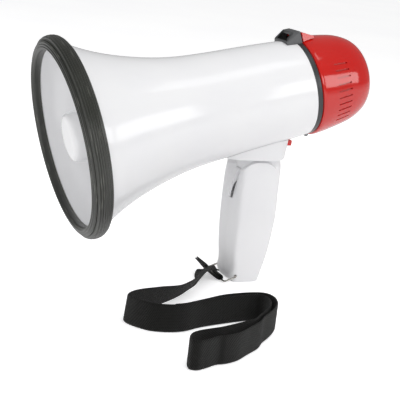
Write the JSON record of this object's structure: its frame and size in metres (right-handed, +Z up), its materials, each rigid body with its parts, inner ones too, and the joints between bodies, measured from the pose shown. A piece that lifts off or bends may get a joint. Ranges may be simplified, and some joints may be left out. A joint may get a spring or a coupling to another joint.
{
  "type": "handheld megaphone",
  "caption": "Handheld megaphone: flared re-entrant horn on an upright grip with a talk trigger, siren button, hinged rear battery cover with thumb latch, and a wrist strap.",
  "frame": {"origin": "a point on the flat foot of the grip, on the plane of symmetry, 3 mm ahead of the middle of the foot", "axes": "+X forwards, towards the bell; +Y to the left of the holder; +Z up, along the grip. The horn's axis lies in the XZ plane, pitched 14.2 degrees bell-down."},
  "size_m": [0.2966, 0.2786, 0.2221],
  "materials": {
    "white_plastic": "glossy white moulded ABS",
    "red_plastic": "glossy red moulded ABS",
    "black_plastic": "semi-gloss black moulded plastic",
    "rim_rubber": "satin dark grey rubber edging",
    "steel": "zinc-plated steel",
    "bright_wire": "nickel-plated round wire",
    "ferrite": "dull dark grey ferrite",
    "film": "amber polyimide film",
    "circuit_board": "green solder mask",
    "cell_wrap": "plain dark cell wrap",
    "cable_sheath": "black cable sheath",
    "webbing": "black ribbed polypropylene webbing"
  },
  "bodies": {
    "housing": {"horn_body": "white_plastic", "rim_bumper": "rim_rubber", "reflector_cup": "white_plastic", "throat_tube": "white_plastic", "throat_screw_1": "steel", "throat_screw_2": "steel", "throat_screw_3": "steel", "diaphragm": "film", "driver_top_plate": "steel", "driver_magnet": "ferrite", "driver_yoke": "steel", "amp_board": "circuit_board", "battery_holder": "black_plastic", "battery_cell_1": "cell_wrap", "battery_cell_2": "cell_wrap", "battery_cell_3": "cell_wrap", "battery_cell_4": "cell_wrap", "battery_spring_1": "steel", "battery_spring_2": "steel", "battery_spring_3": "steel", "battery_spring_4": "steel", "rear_ring": "black_plastic", "hinge_pin": "steel", "grip_left_shell": "white_plastic", "grip_right_shell": "white_plastic", "grip_screw_1": "steel", "grip_screw_2": "steel", "grip_screw_3": "steel", "saddle_screw_1": "steel", "saddle_screw_2": "steel", "saddle_screw_3": "steel", "saddle_screw_4": "steel", "trigger_pin": "steel", "trigger_switch": "black_plastic", "trigger_spring": "steel", "siren_switch": "black_plastic", "switch_cable": "cable_sheath", "wrist_strap": "webbing"},
    "cover": {"rear_cover": "red_plastic", "mic_grille": "black_plastic", "mic_capsule": "steel", "potentiometer": "steel"},
    "latch": {"cover_latch": "red_plastic"},
    "knob": {"volume_knob": "black_plastic"},
    "trigger": {"trigger": "white_plastic"},
    "siren": {"siren_button": "red_plastic"},
    "bail": {"strap_bail": "bright_wire", "strap_end_loop": "webbing"}
  },
  "joints": [
    {"name": "cover_open", "type": "hinge", "parent": "housing", "child": "cover", "pos_m": [-0.05141, 0, 0.13193], "axis": [0, -1, 0], "range_deg": [0, 80]},
    {"name": "latch_slide", "type": "slide", "parent": "cover", "child": "latch", "axis": [-0.9694, 0, 0.2453], "range_m": [0, 0.0035]},
    {"name": "volume_turn", "type": "hinge", "parent": "cover", "child": "knob", "pos_m": [-0.10021, 0, 0.17471], "axis": [0.9694, 0, -0.2453], "range_deg": [0, 270]},
    {"name": "trigger_pull", "type": "hinge", "parent": "housing", "child": "trigger", "pos_m": [0.0055, 0, 0.096], "axis": [0, 1, 0], "range_deg": [0, 7], "deforming": ["trigger_spring"]},
    {"name": "siren_press", "type": "slide", "parent": "housing", "child": "siren", "axis": [1, 0, 0], "range_m": [0, 0.0018]},
    {"name": "bail_swing", "type": "hinge", "parent": "housing", "child": "bail", "pos_m": [0.0079, 0, 0.006], "axis": [0, -1, 0], "range_deg": [-30, 65]}
  ]
}
